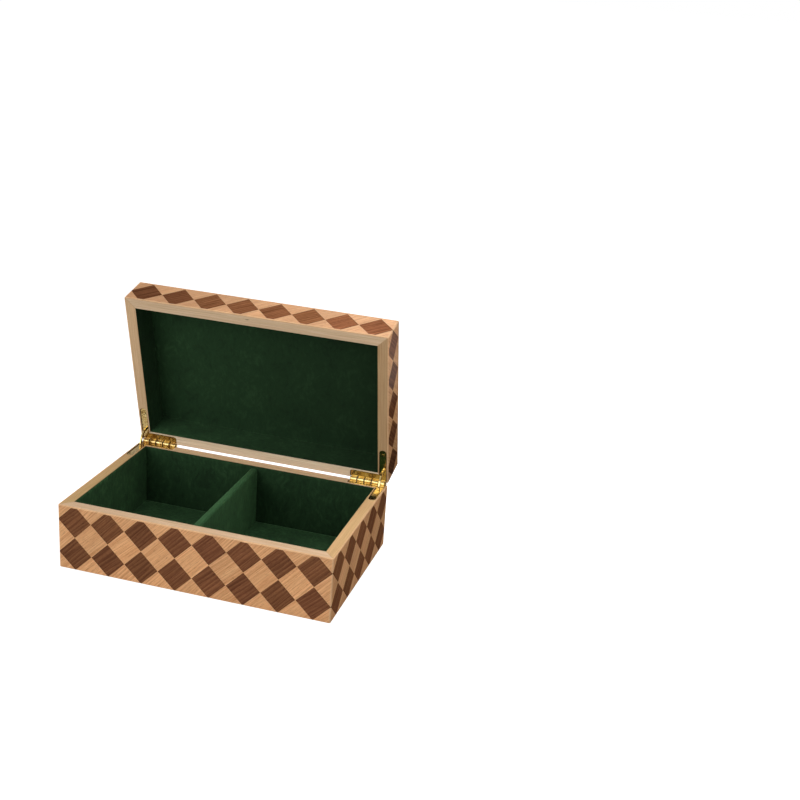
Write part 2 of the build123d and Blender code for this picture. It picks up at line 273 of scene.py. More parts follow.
# How a wood shows its grain: the sizes of rings and pores, where its streaks pass from pale to dark, the
# shares of ring lines and pores, gain and least of the bands' level and of the roughness, the streaks'
# share of the relief, and the relief's depth and strength
Wood = namedtuple("Wood", "grain streaks ring_share pore_share bands roughness streak_relief relief")
OAK = Wood(
    grain={"Ring Width": 2.3, "Pore Length": 5.0, "Pore Width": 0.26},
    streaks=(0.30, 0.72),
    ring_share=0.2,
    pore_share=0.3,
    bands=(0.26, 0.87),
    roughness=(0.16, 0.46),
    streak_relief=0.35,
    relief=(0.06, 0.35),
)
WALNUT = Wood(
    grain={"Ring Width": 3.4, "Pore Length": 3.6, "Pore Width": 0.3},
    streaks=(0.28, 0.75),
    ring_share=0.5,
    pore_share=0.5,
    bands=(0.40, 0.76),
    roughness=(0.14, 0.44),
    streak_relief=0.3,
    relief=(0.05, 0.3),
)
BOARD = Wood(
    grain={"Ring Width": 2.6, "Pore Length": 2.6, "Pore Width": 0.22},
    streaks=(0.3, 0.75),
    ring_share=0.32,
    pore_share=0.22,
    bands=(0.22, 0.89),
    roughness=(0.14, 0.5),
    streak_relief=0.5,
    relief=(0.05, 0.3),
)

# Oak's pale rays and rubbed borders, walnut's turn of hue and dark edges, the glue under the top's veneer
OAK_RAY_SPAN = (0.60, 0.72)
OAK_RAY_SHARE = 0.35
RUBBED_WIDTH = 1.5
RUBBED_REACH = (1.6, 0.2)
RUBBED_SPAN = (0.25, 1.0)
RUBBED_SHARE = 0.55
WALNUT_HUE = (-0.005, 0.501)
WALNUT_EDGE = (0.945, 0.985)
WALNUT_EDGE_SHARE = 0.55
GLUE_DEPTH = 0.95
GLUE_LINE = 0.25

# The boards' pores, mitre lines, painted shade in the hinge recesses below the rim, and one faint knot in
# the middle of a side
BOARD_PORE_RELIEF = 0.6
MITRE_LINE = (0.08, 0.45)
MITRE_SHARE = 0.45
RECESS_TOP = (0.15, 0.4)
RECESS_FOOT = (8.0, 9.0)
RECESS_SHADE_SHARE = 0.9
KNOT_SIDE = "lid_front"
KNOT_ASIDE = 6.0
KNOT_DEPTH = -4.0
KNOT_SIZE = (2.6, 9.0, 0.9)
KNOT_RAGGED = (0.9, -0.45)
KNOT_SPAN = (0.3, 1.1)
KNOT_SHARE = 0.6

# Plywood: its rings and pores, where its waves pass from pale to tan, and how much of each shows
PLY_GRAIN = {"Ring Width": 9.0, "Pore Length": 3.0, "Pore Width": 0.3}
PLY_WAVES = (0.3, 0.7)
PLY_RING_SHARE = 0.35
PLY_PORE_SHARE = 0.25
PLY_ROUGHNESS = (0.2, 0.5)
PLY_RELIEF = (0.05, 0.35)

# Suede: how far its patches are swept along x and z, how patches and strokes make up the nap, which nap is
# dark, mid or light, how the painted light and shade at the borders and the fibres change the level, and
# its roughness, relief and sheen
SUEDE_SWEEP_X = 26.0
SUEDE_SWEEP_Z = 18.0
SUEDE_PATCH_SHARE = 0.55
SUEDE_STROKE_SHARE = (0.6, -0.075)
SUEDE_EVEN_NAP = 0.5
SUEDE_DARK_SPAN = (0.25, 0.5)
SUEDE_LIGHT_SPAN = (0.5, 0.75)
SUEDE_EDGE_LIGHT_GAIN = 1.4
SUEDE_SPECKLE = (0.7, 0.65)
SUEDE_ROUGHNESS = (0.15, 0.82)
SUEDE_FIBRE_RELIEF = 0.6
SUEDE_STROKE_RELIEF = 0.5
SUEDE_RELIEF = (0.3, 0.45)
SUEDE_FINISH = {
    "Specular IOR Level": 0.1,
    "Sheen Weight": 0.5,
    "Sheen Roughness": 0.4,
    "Sheen Tint": SUEDE_SHEEN,
}

# Brass: which clouds are deeper and which spots dull, its roughness and what dullness and the painted
# crevice shade add to it
BRASS_CLOUD_SPAN = (0.35, 0.7)
BRASS_SPOT_SPAN = (0.42, 0.68)
BRASS_ROUGHNESS = (0.08, 0.06)
BRASS_DULL_ROUGHNESS = 0.2
BRASS_CREVICE_ROUGHNESS = 0.3
BRASS_RELIEF = (0.02, 0.08)


# Places in the frame

lid_hinge = next(joint for joint in frame["joints"] if joint["name"] == "lid_hinge")
pin = Vector(lid_hinge["pos_m"])
swing = Matrix.Rotation(-math.radians(lid_hinge["range_deg"][1]), 4, "X")
REST = {"base": Matrix.Identity(4), "lid": Matrix.Translation(pin) @ swing @ Matrix.Translation(-pin)}
SIDE_TURNS = {"front": 0.0, "right": 90.0, "back": 180.0, "left": 270.0}


def moved(points, matrix):
    """Rows of points carried by a matrix."""
    carry = np.array(matrix)
    return points @ carry[:3, :3].T + carry[:3, 3]


def extent(body, nodes, turn):
    """Lowest and highest corner of some nodes of a shut body, along the axes of a turn."""
    rows = []
    for node in nodes:
        vertices = frame["nodes"][node].data.vertices
        points = np.empty(len(vertices) * 3, np.float32)
        vertices.foreach_get("co", points)
        rows.append(points.reshape(-1, 3))
    local = moved(np.concatenate(rows), (REST[body] @ turn).inverted())
    return Vector(local.min(0)), Vector(local.max(0))


def facing_out(side):
    """Axes of a side seen from outside: x to the right, y up, z out of the box."""
    return Matrix.Rotation(math.radians(SIDE_TURNS[side]), 4, "Z") @ Matrix.Rotation(math.pi / 2, 4, "X")


def facing_in(side):
    """Axes of a side seen from inside: x to the right, y up, z into the box."""
    return Matrix.Rotation(math.pi, 4, "Z") @ facing_out(side)


FACING_UP = Matrix.Identity(4)
FACING_DOWN = Matrix.Rotation(math.pi, 4, "X")

# A face of a body: the start and axes of its millimetres, its borders, its chequer's pitch and its seed
Face = namedtuple("Face", "name body matrix low high pitch seed")


def whole_pitch(run):
    """Pitch of the whole squares that fit a run best, in millimetres."""
    return run / max(1, round(run / TILE))


def make_faces():
    """The nine veneered faces, each with its corner at the start of the chequer."""
    faces = {}
    for body in REST:
        for side in SIDE_TURNS:
            turn = facing_out(side)
            low, high = extent(body, [f"{body}_{side}_oak_veneer", f"{body}_{side}_wall"], turn)
            run = (high.x - low.x) / MM
            if body == "base":
                foot = low.y
                rise = (high.y - low.y) / MM + RIM_TIP_CUT
            else:
                top = extent(body, ["lid_top_oak_veneer"], turn)[1].y
                foot = top - LID_TILE_MARGIN * MM
                rise = (foot - low.y) / MM + RIM_TIP_CUT
                high.y = top
            corner = Matrix.Translation((low.x, foot, high.z))
            faces[f"{body}_{side}"] = Face(
                name=f"{body}_{side}",
                body=body,
                matrix=REST[body] @ turn @ corner,
                low=(0.0, (low.y - foot) / MM, 0.0),
                high=(run, (high.y - foot) / MM, 0.0),
                pitch=(whole_pitch(run), whole_pitch(rise), 1.0),
                seed=float(len(faces)),
            )
    low, high = extent("lid", ["lid_top_oak_veneer"], FACING_UP)
    run, rise = (high.x - low.x) / MM, (high.y - low.y) / MM
    faces["lid_top"] = Face(
        name="lid_top",
        body="lid",
        matrix=REST["lid"] @ Matrix.Translation((low.x, low.y, high.z)),
        low=(0.0, 0.0, 0.0),
        high=(run, rise, 0.0),
        pitch=(whole_pitch(run), whole_pitch(rise), 1.0),
        seed=float(len(faces)),
    )
    return faces


# Node trees

# Sockets of a Mix node that mixes colours
MIX_SHARE, MIX_FIRST, MIX_SECOND, MIX_RESULT = 0, 6, 7, 2


class Wiring:
    """Adds nodes to one tree, and joins or sets their inputs."""

    def __init__(self, tree):
        self.tree = tree

    def node(self, kind, inputs=None, **settings):
        node = self.tree.nodes.new("ShaderNode" + kind)
        for name, value in settings.items():
            setattr(node, name, value)
        for key, value in (inputs or {}).items():
            if isinstance(value, bpy.types.NodeSocket):
                self.tree.links.new(value, node.inputs[key])
            else:
                node.inputs[key].default_value = value
        return node

    def group(self, tree, inputs):
        return self.node("Group", inputs, node_tree=tree).outputs

    def send(self, results, values):
        for name, value in values.items():
            self.tree.links.new(value, results[name])

    def math(self, operation, first, second=0.0):
        return self.node("Math", {0: first, 1: second}, operation=operation).outputs[0]

    def plus(self, first, second):
        return self.math("ADD", first, second)

    def minus(self, first, second):
        return self.math("SUBTRACT", first, second)

    def times(self, first, second):
        return self.math("MULTIPLY", first, second)

    def scaled(self, value, gain, offset=0.0):
        return self.node("Math", {0: value, 1: gain, 2: offset}, operation="MULTIPLY_ADD").outputs[0]

    def least(self, first, *others):
        for other in others:
            first = self.math("MINIMUM", first, other)
        return first

    def most(self, first, *others):
        for other in others:
            first = self.math("MAXIMUM", first, other)
        return first

    def vector(self, operation, first, second=(0.0, 0.0, 0.0)):
        return self.node("VectorMath", {0: first, 1: second}, operation=operation).outputs[0]

    def length(self, vector):
        return self.node("VectorMath", {0: vector}, operation="LENGTH").outputs["Value"]

    def split(self, vector):
        return self.node("SeparateXYZ", {0: vector}).outputs

    def join(self, x, y, z):
        return self.node("CombineXYZ", {0: x, 1: y, 2: z}).outputs[0]

    def noise(self, point, field):
        """The noise of a field at a point."""
        scaled = self.vector("DIVIDE", point, field.lengths)
        inputs = {"Vector": scaled, "Scale": 1.0, "Detail": field.detail, "Roughness": field.roughness}
        return self.node("TexNoise", inputs, noise_dimensions="3D").outputs[0]

    def ramp(self, value, span, levels=(0.0, 1.0), kind="SMOOTHSTEP"):
        """A smooth change from one level to another over a span of values."""
        inputs = {0: value, 1: span[0], 2: span[1], 3: levels[0], 4: levels[1]}
        return self.node("MapRange", inputs, interpolation_type=kind).outputs[0]

    def slope(self, value, span, levels):
        """An even change from one level to another over a span of values."""
        return self.ramp(value, span, levels, kind="LINEAR")

    def blend(self, share, first, second):
        """A colour between two colours."""
        inputs = {MIX_SHARE: share, MIX_FIRST: first, MIX_SECOND: second}
        return self.node("Mix", inputs, data_type="RGBA").outputs[MIX_RESULT]

    def tinted(self, colour, tint):
        """A colour times a tint."""
        inputs = {MIX_SHARE: 1.0, MIX_FIRST: colour, MIX_SECOND: tint}
        return self.node("Mix", inputs, data_type="RGBA", blend_type="MULTIPLY").outputs[MIX_RESULT]

    def toned(self, colour, level, hue=0.5):
        """A colour made lighter or darker, with its hue turned where it isn't a half."""
        return self.node("HueSaturation", {"Hue": hue, "Value": level, "Color": colour}).outputs[0]


# Sockets that the groups for squares and for grain share
SQUARE_INPUTS = {"Point": "Vector", "Pitch": "Vector", "Shift": "Float", "Seed": "Float"}
SQUARE_OUTPUTS = {"Random": "Color", "Place": "Vector"}
GRAIN_SIZES = {"Ring Width": "Float", "Pore Length": "Float", "Pore Width": "Float"}
GRAIN_OUTPUTS = {"Ring": "Float", "Streak": "Float", "Band": "Float", "Pore": "Float"}


def new_group(name, inputs, outputs):
    """An empty shader group with named sockets: its tree, wiring, given values and results."""
    tree = bpy.data.node_groups.new(name, "ShaderNodeTree")
    for label, kind in inputs.items():
        tree.interface.new_socket(label, in_out="INPUT", socket_type="NodeSocket" + kind)
    for label, kind in outputs.items():
        tree.interface.new_socket(label, in_out="OUTPUT", socket_type="NodeSocket" + kind)
    given = tree.nodes.new("NodeGroupInput").outputs
    results = tree.nodes.new("NodeGroupOutput").inputs
    return tree, Wiring(tree), given, results


def cell_group():
    """Three random values for each square of a chequer, and the place within it from -0.5 to 0.5."""
    tree, wires, given, results = new_group("veneer_cell", SQUARE_INPUTS, SQUARE_OUTPUTS)
    pitches = wires.vector("DIVIDE", given["Point"], given["Pitch"])
    shifted = wires.vector("ADD", pitches, given["Shift"])
    corner = wires.vector("FLOOR", shifted)
    place = wires.vector("SUBTRACT", wires.vector("SUBTRACT", shifted, corner), (0.5, 0.5, 0.5))
    column, row, _ = wires.split(corner)
    key = wires.join(column, row, given["Seed"])
    random = wires.node("TexWhiteNoise", {"Vector": key}, noise_dimensions="3D").outputs["Color"]
    wires.send(results, {"Random": random, "Place": place})
    return tree


def grain_group():
    """Straight grain along x: rings with a dark start, streaks, broad bands and pores like dashes."""
    tree, wires, given, results = new_group(
        "straight_grain", {"Point": "Vector", **GRAIN_SIZES}, GRAIN_OUTPUTS
    )
    along, across, depth = wires.split(given["Point"])
    wander = wires.noise(given["Point"], GRAIN_WANDER)
    bent_across = wires.scaled(wander, WANDER_REACH, across)
    bent = wires.join(along, bent_across, depth)
    rings = wires.math("DIVIDE", bent_across, given["Ring Width"])
    uneven = wires.scaled(wires.noise(bent, RING_UNEVENNESS), RING_DRIFT)
    turn = wires.math("FRACT", wires.plus(rings, uneven))
    ring = wires.times(wires.ramp(turn, RING_START), wires.ramp(turn, RING_FADE, FALLING))
    pore_lengths = wires.join(given["Pore Length"], given["Pore Width"], 1.0)
    dashes = wires.noise(bent, Field(pore_lengths, detail=1.0, roughness=0.4))
    wires.send(results, {
        "Ring": ring,
        "Streak": wires.noise(bent, GRAIN_STREAKS),
        "Band": wires.noise(bent, GRAIN_BANDS),
        "Pore": wires.ramp(dashes, PORE_SPAN),
    })
    return tree


def tile_grain_group(cell, grain):
    """The grain of one square of veneer: it runs up to the right and differs from square to square."""
    tree, wires, given, results = new_group(
        "tile_grain",
        {**SQUARE_INPUTS, **GRAIN_SIZES},
        {**SQUARE_OUTPUTS, "Grain Point": "Vector", **GRAIN_OUTPUTS},
    )
    square = wires.group(cell, {name: given[name] for name in SQUARE_INPUTS})
    lean = wires.split(square["Random"])[0]
    angle = wires.scaled(lean, LEAF_LEAN_SPREAD, LEAF_LEAN)
    inputs = {"Vector": given["Point"], "Angle": angle}
    turned = wires.node("VectorRotate", inputs, rotation_type="Z_AXIS").outputs[0]
    flat = wires.vector("MULTIPLY", turned, (1.0, 1.0, 0.0))
    leaf = wires.vector("ADD", flat, wires.vector("MULTIPLY", square["Random"], LEAF_CUTS))
    figure = wires.group(grain, {"Point": leaf, **{name: given[name] for name in GRAIN_SIZES}})
    wires.send(results, {name: square[name] for name in SQUARE_OUTPUTS})
    wires.send(results, {"Grain Point": leaf})
    wires.send(results, {name: figure[name] for name in GRAIN_OUTPUTS})
    return tree


def border_group():
    """How near a point lies to a face's borders: 1 on a border, 0 beyond a width, with an uneven edge."""
    tree, wires, given, results = new_group(
        "rubbed_border",
        {"Point": "Vector", "Low": "Vector", "High": "Vector", "Width": "Float"},
        {"Rubbed": "Float"},
    )
    low_x, low_y, _ = wires.split(wires.vector("SUBTRACT", given["Point"], given["Low"]))
    high_x, high_y, _ = wires.split(wires.vector("SUBTRACT", given["High"], given["Point"]))
    near = wires.least(low_x, high_x, low_y, high_y)
    uneven = wires.noise(given["Point"], BORDER_UNEVENNESS)
    reach = wires.times(given["Width"], wires.scaled(uneven, *RUBBED_REACH))
    share = wires.math("DIVIDE", near, reach)
    wires.send(results, {"Rubbed": wires.ramp(share, RUBBED_SPAN, FALLING)})
    return tree


def glue_group():
    """The dark glue line at the foot of the top veneer's edge: 1 near a depth, 0 elsewhere."""
    tree, wires, given, results = new_group(
        "glue_line", {"Point": "Vector", "Depth": "Float"}, {"Line": "Float"}
    )
    depth = wires.times(wires.split(given["Point"])[2], -1.0)
    start = wires.minus(given["Depth"], GLUE_LINE)
    wires.send(results, {"Line": wires.ramp(depth, (start, given["Depth"]))})
    return tree


def crevice_shade_group():
    """Where shade is painted on the leaves and screws of a shut hinge: 1 between the knuckles, round the
    screw heads and below the top of a leaf, 0 elsewhere."""
    tree, wires, given, results = new_group("hinge_crevice_shade", {"Point": "Vector"}, {"Shade": "Float"})
    x, y, z = wires.split(given["Point"])
    from_middle = wires.math("ABSOLUTE", x)
    from_joint = wires.math("PINGPONG", wires.minus(from_middle, KNUCKLE_JOINT), 0.5 * KNUCKLE_PITCH)
    behind = wires.minus(y, pin.y / MM)
    above = wires.minus(z, pin.z / MM)
    barrel = wires.ramp(wires.length(wires.join(0.0, behind, above)), BARREL_SHADE, FALLING)
    between = wires.times(wires.ramp(from_joint, JOINT_SHADE, FALLING), barrel)
    depth = wires.minus(wires.math("ABSOLUTE", above), LEAF_LEVEL)
    sunk = wires.times(wires.ramp(depth, SUNK_SHADE), wires.minus(1.0, barrel))
    plan = wires.join(from_middle, y, 0.0)
    to_screws = [wires.length(wires.vector("SUBTRACT", plan, place)) for place in SCREW_PLACES]
    to_screw = wires.least(*to_screws)
    inner = wires.ramp(to_screw, SCREW_INNER_SHADE)
    ring = wires.times(inner, wires.ramp(to_screw, SCREW_OUTER_SHADE, FALLING))
    wires.send(results, {"Shade": wires.most(between, sunk, ring)})
    return tree


CELL = cell_group()
GRAIN = grain_group()
TILE_GRAIN = tile_grain_group(CELL, GRAIN)
BORDER = border_group()
GLUE = glue_group()
CREVICE_SHADE = crevice_shade_group()


# Materials

def new_material(name):
    """An empty material and its wiring."""
    material = bpy.data.materials.new(name)
    material.use_nodes = True
    material.node_tree.nodes.clear()
    return material, Wiring(material.node_tree)


def object_point(wires, matrix):
    """Millimetres along a face's own axes."""
    inputs = {
        "Vector": wires.node("TexCoord").outputs["Object"],
        "Location": matrix.to_translation(),
        "Rotation": matrix.to_euler("XYZ"),
        "Scale": (MM, MM, MM),
    }
    return wires.node("Mapping", inputs, vector_type="TEXTURE").outputs[0]


def surface(wires, height, relief, inputs):
    """A Principled surface with relief of a depth and strength, joined to the material's output."""
    depth, strength = relief
    bump = wires.node("Bump", {"Height": height, "Distance": depth * MM, "Strength": strength})
    shader = wires.node("BsdfPrincipled", {**inputs, "Normal": bump.outputs[0]})
    wires.node("OutputMaterial", {"Surface": shader.outputs[0]})


def veneer_leaf(wires, point, face, wood, shift, seed):
    """The grain of each square of one wood on a face."""
    inputs = {"Point": point, "Pitch": face.pitch, "Shift": shift, "Seed": seed, **wood.grain}
    return wires.group(TILE_GRAIN, inputs)


def veneer_level(wires, leaf, tone, wood, along, face, levels):
    """How light veneer is: by its bands, by each leaf's own tone and by painted light and shade along its
    side.
    """
    broad = wires.scaled(leaf["Band"], *wood.bands)
    varied = wires.times(broad, wires.scaled(tone, *LEAF_TONE))
    # Painted light and shade along the side
    return wires.times(varied, wires.slope(along, (0.0, face.high[0]), levels.get(face.name, EVEN_PAINTED_LIGHT)))


def glued(wires, point, face, colour):
    """Veneer's colour, on the top with a glue line along the foot of its edge."""
    if face.name != "lid_top":
        return colour
    line = wires.group(GLUE, {"Point": point, "Depth": GLUE_DEPTH})["Line"]
    return wires.blend(line, colour, GLUE_BROWN)


def veneer_finish(wires, material, face, along):
    """The finish of a side's oak or walnut; on the polished side its coat fades along the side."""
    if face.name != POLISHED_SIDE:
        return FINISHES.get(material.name, SATIN)
    fade = [share * face.high[0] for share in POLISH_FADE]
    coat = wires.ramp(along, fade, (POLISH_WEIGHT, 0.0))
    return {**DRY, "Coat Weight": coat, "Coat Roughness": POLISH_ROUGHNESS}


def oak_material(face):
    """Oak veneer: tan, with brown ring lines, fine pores, pale flecks across and rubbed pale borders."""
    material, wires = new_material(f"{face.name}_oak")
    point = object_point(wires, face.matrix)
    along = wires.split(point)[0]
    leaf = veneer_leaf(wires, point, face, OAK, OAK_SHIFT, face.seed)
    _, tone, fleck_share = wires.split(leaf["Random"])
    ground = wires.blend(wires.ramp(leaf["Streak"], OAK.streaks), OAK_PALE, OAK_TAN)
    ringed = wires.blend(wires.scaled(leaf["Ring"], OAK.ring_share), ground, OAK_BROWN)
    crowded = wires.times(leaf["Pore"], wires.scaled(leaf["Ring"], OAK.pore_share, OAK.pore_share))
    pored = wires.blend(crowded, ringed, OAK_PORE)
    rays = wires.ramp(wires.noise(leaf["Grain Point"], OAK_RAYS), OAK_RAY_SPAN)
    flecked = wires.blend(wires.times(rays, wires.scaled(fleck_share, OAK_RAY_SHARE)), pored, OAK_PALE)
    level = veneer_level(wires, leaf, tone, OAK, along, face, OAK_PAINTED_LIGHT)
    borders = {"Point": point, "Low": face.low, "High": face.high, "Width": RUBBED_WIDTH}
    rubbed = wires.scaled(wires.group(BORDER, borders)["Rubbed"], RUBBED_SHARE)
    colour = glued(wires, point, face, wires.blend(rubbed, wires.toned(flecked, level), OAK_RUBBED))
    rough = wires.scaled(leaf["Streak"], *OAK.roughness)
    height = wires.minus(wires.scaled(leaf["Streak"], OAK.streak_relief), crowded)
    finish = veneer_finish(wires, material, face, along)
    surface(wires, height, OAK.relief, {"Base Color": colour, "Roughness": rough, **finish})
    return material


def walnut_material(face):
    """Walnut veneer: mid brown, with soft darker streaks, dark pores and thin dark edges."""
    material, wires = new_material(f"{face.name}_walnut")
    point = object_point(wires, face.matrix)
    along = wires.split(point)[0]
    leaf = veneer_leaf(wires, point, face, WALNUT, WALNUT_SHIFT, face.seed + WALNUT_SEED)
    _, tone, red_share = wires.split(leaf["Random"])
    ground = wires.blend(wires.ramp(leaf["Streak"], WALNUT.streaks), WALNUT_LIGHT, WALNUT_MID)
    ringed = wires.blend(wires.scaled(leaf["Ring"], WALNUT.ring_share), ground, WALNUT_DARK)
    pored = wires.blend(wires.scaled(leaf["Pore"], WALNUT.pore_share), ringed, WALNUT_PORE)
    level = veneer_level(wires, leaf, tone, WALNUT, along, face, WALNUT_PAINTED_LIGHT)
    toned = wires.toned(pored, level, wires.scaled(red_share, *WALNUT_HUE))
    to_tips = [2.0 * pitch / (pitch - gap) for pitch, gap in zip(face.pitch, TIP_GAPS)]
    reach = wires.vector("ABSOLUTE", wires.vector("MULTIPLY", leaf["Place"], to_tips))
    reach_x, reach_y, _ = wires.split(reach)
    edge = wires.ramp(wires.plus(reach_x, reach_y), WALNUT_EDGE)
    edged = wires.blend(wires.scaled(edge, WALNUT_EDGE_SHARE), toned, WALNUT_DARK)
    colour = glued(wires, point, face, edged)
    rough = wires.scaled(leaf["Streak"], *WALNUT.roughness)
    height = wires.minus(wires.scaled(leaf["Streak"], WALNUT.streak_relief), leaf["Pore"])
    finish = veneer_finish(wires, material, face, along)
    surface(wires, height, WALNUT.relief, {"Base Color": colour, "Roughness": rough, **finish})
    return material


def knotted(wires, point, face, colour):
    """A board's colour, on one side with a faint knot: a ragged spot round a place at its rim."""
    if face.name != KNOT_SIDE:
        return colour
    place = (0.5 * face.high[0] - KNOT_ASIDE, face.low[1], KNOT_DEPTH)
    offset = wires.vector("DIVIDE", wires.vector("SUBTRACT", point, place), KNOT_SIZE)
    ragged = wires.scaled(wires.noise(point, KNOT_RAGGEDNESS), *KNOT_RAGGED)
    away = wires.plus(wires.length(offset), ragged)
    return wires.blend(wires.ramp(away, KNOT_SPAN, (KNOT_SHARE, 0.0)), colour, BOARD_KNOT)


def board_material(face):
    """Pale close-grained board: grain along the side, a thin mitre line at each end, painted light and
    shade that differs from side to side, painted shade in the hinge recesses and, on one side, a faint
    knot."""
    material, wires = new_material(f"{face.name}_board")
    point = object_point(wires, face.matrix)
    shifted = wires.vector("ADD", point, [face.seed * cut for cut in BOARD_CUTS])
    along, up, out = wires.split(shifted)
    lengthwise = wires.join(along, wires.plus(up, out), wires.minus(up, out))
    grain = wires.group(GRAIN, {"Point": lengthwise, **BOARD.grain})
    ground = wires.blend(wires.ramp(grain["Streak"], BOARD.streaks), BOARD_PALE, BOARD_TAN)
    lined = wires.blend(wires.scaled(grain["Ring"], BOARD.ring_share), ground, BOARD_LINE)
    pored = wires.blend(wires.scaled(grain["Pore"], BOARD.pore_share), lined, BOARD_LINE)
    # Painted light and shade: each side's board is tinted lighter or darker
    tinted = wires.tinted(pored, BOARD_PAINTED_LIGHT.get(face.name, EVEN_BOARD_LIGHT))
    toned = wires.toned(tinted, wires.scaled(grain["Band"], *BOARD.bands))
    from_start, height, outward = wires.split(point)
    from_end = wires.minus(face.high[0], from_start)
    to_mitre = wires.plus(wires.least(from_start, from_end), outward)
    mitre = wires.ramp(wires.math("ABSOLUTE", to_mitre), MITRE_LINE, FALLING)
    jointed = wires.blend(wires.scaled(mitre, MITRE_SHARE), toned, BOARD_LINE)
    if face.body == "base":
        below_rim = wires.minus(face.high[1], height)
    else:
        below_rim = wires.minus(height, face.low[1])
    # Painted shade in the hinge recesses just below the rim
    recess_shade = wires.times(wires.ramp(below_rim, RECESS_TOP), wires.ramp(below_rim, RECESS_FOOT, FALLING))
    recess_shaded = wires.blend(wires.scaled(recess_shade, RECESS_SHADE_SHARE), jointed, RECESS_SHADE)
    colour = knotted(wires, point, face, recess_shaded)
    rough = wires.scaled(grain["Streak"], *BOARD.roughness)
    streaks = wires.scaled(grain["Streak"], BOARD.streak_relief)
    pores = wires.scaled(grain["Pore"], BOARD_PORE_RELIEF)
    inputs = {"Base Color": colour, "Roughness": rough, **SATIN}
    surface(wires, wires.minus(streaks, pores), BOARD.relief, inputs)
    return material


def thin_board_material():
    """Sanded plywood: broad rotary-cut waves along its length and small pores."""
    material, wires = new_material("thin_board")
    point = object_point(wires, FACING_UP)
    grain = wires.group(GRAIN, {"Point": point, **PLY_GRAIN})
    ground = wires.blend(wires.ramp(grain["Band"], PLY_WAVES), PLY_PALE, PLY_TAN)
    lined = wires.blend(wires.scaled(grain["Ring"], PLY_RING_SHARE), ground, BOARD_LINE)
    colour = wires.blend(wires.scaled(grain["Pore"], PLY_PORE_SHARE), lined, BOARD_LINE)
    rough = wires.scaled(grain["Streak"], *PLY_ROUGHNESS)
    height = wires.minus(grain["Streak"], grain["Pore"])
    surface(wires, height, PLY_RELIEF, {"Base Color": colour, "Roughness": rough})
    return material


def suede_material(node):
    """Green suede: brushed patches where the nap lies either way, fine fibres, a soft sheen, a painted
    highlight along the borders and painted shade on the divider's crest. From one end of a lining to the
    other its colour is painted lighter or darker as light and shade."""
    light_and_nap = SUEDE_LIGHT_AND_NAP.get(node, EVEN_LIGHT_AND_NAP)
    material, wires = new_material(node.replace("_lining", "_suede"))
    point = object_point(wires, FACING_UP)
    reach = SUEDE_REACH[light_and_nap.axis]
    # Painted light and shade: the lining's colour rises or falls from one end of an axis to the other
    level = wires.slope(wires.split(point)[light_and_nap.axis], (-reach, reach), (light_and_nap.low_level, light_and_nap.high_level))
    drift = wires.noise(point, SUEDE_DRIFT)
    sweep = wires.join(wires.scaled(drift, SUEDE_SWEEP_X), 0.0, wires.scaled(drift, SUEDE_SWEEP_Z))
    swept = wires.vector("ADD", point, sweep)
    strokes = wires.noise(swept, SUEDE_STROKES)
    fibres = wires.noise(point, SUEDE_FIBRES)
    patches = wires.scaled(wires.noise(swept, SUEDE_PATCHES), SUEDE_PATCH_SHARE)
    nap = wires.plus(patches, wires.scaled(strokes, *SUEDE_STROKE_SHARE))
    swayed = wires.plus(wires.scaled(wires.minus(nap, SUEDE_EVEN_NAP), light_and_nap.contrast), SUEDE_EVEN_NAP)
    dark_or_mid = wires.blend(wires.ramp(swayed, SUEDE_DARK_SPAN), SUEDE_DARK, SUEDE_MID)
    brushed = wires.blend(wires.ramp(swayed, SUEDE_LIGHT_SPAN), dark_or_mid, SUEDE_LIGHT)
    # Painted highlight on the panels' borders and painted shade on the divider's crest
    border = wires.node("Attribute", attribute_name="border").outputs["Fac"]
    painted_light_gain = wires.scaled(wires.times(border, strokes), SUEDE_EDGE_LIGHT_GAIN, 1.0)
    speckled = wires.times(wires.scaled(fibres, *SUEDE_SPECKLE), wires.times(painted_light_gain, level))
    inputs = {
        "Base Color": wires.toned(brushed, speckled),
        "Roughness": wires.scaled(fibres, *SUEDE_ROUGHNESS),
        **SUEDE_FINISH,
    }
    fibre_height = wires.scaled(fibres, SUEDE_FIBRE_RELIEF)
    height = wires.plus(fibre_height, wires.scaled(strokes, SUEDE_STROKE_RELIEF))
    surface(wires, height, SUEDE_RELIEF, inputs)
    return material


def brass_material(name, body, tarnish_and_shade_share, shade_share=0.0):
    """Polished brass: gold, deeper where it has dulled, and on the left leaves dulled further as painted
    shade, with faint scratches along the hinge. On a piece that is fixed to one body, painted shade in the
    crevices."""
    material, wires = new_material(name)
    point = object_point(wires, REST[body] if body else FACING_UP)
    clouds = wires.noise(point, BRASS_CLOUDS)
    gold = wires.blend(wires.ramp(clouds, BRASS_CLOUD_SPAN), BRASS_GOLD, BRASS_DEEP)
    # How far it dulls: tarnish, raised on the left leaves as painted shade
    dull = wires.times(wires.ramp(wires.noise(point, BRASS_SPOTS), BRASS_SPOT_SPAN), tarnish_and_shade_share)
    colour = wires.blend(dull, gold, BRASS_TARNISH_AND_SHADE)
    rough = wires.plus(wires.scaled(clouds, *BRASS_ROUGHNESS), wires.scaled(dull, BRASS_DULL_ROUGHNESS))
    if body:
        # Painted shade in the crevices, dark brown and rougher
        crevice_shade = wires.group(CREVICE_SHADE, {"Point": point})["Shade"]
        colour = wires.blend(wires.scaled(crevice_shade, shade_share), colour, BRASS_CREVICE_SHADE)
        rough = wires.plus(rough, wires.scaled(crevice_shade, BRASS_CREVICE_ROUGHNESS * shade_share))
    inputs = {"Base Color": colour, "Roughness": rough, "Metallic": 1.0}
    surface(wires, wires.noise(point, BRASS_SCRATCHES), BRASS_RELIEF, inputs)
    return material


def paint(node, material):
    """Gives a CAD node its one material."""
    slots = frame["nodes"][node].data.materials
    slots.clear()
    slots.append(material)


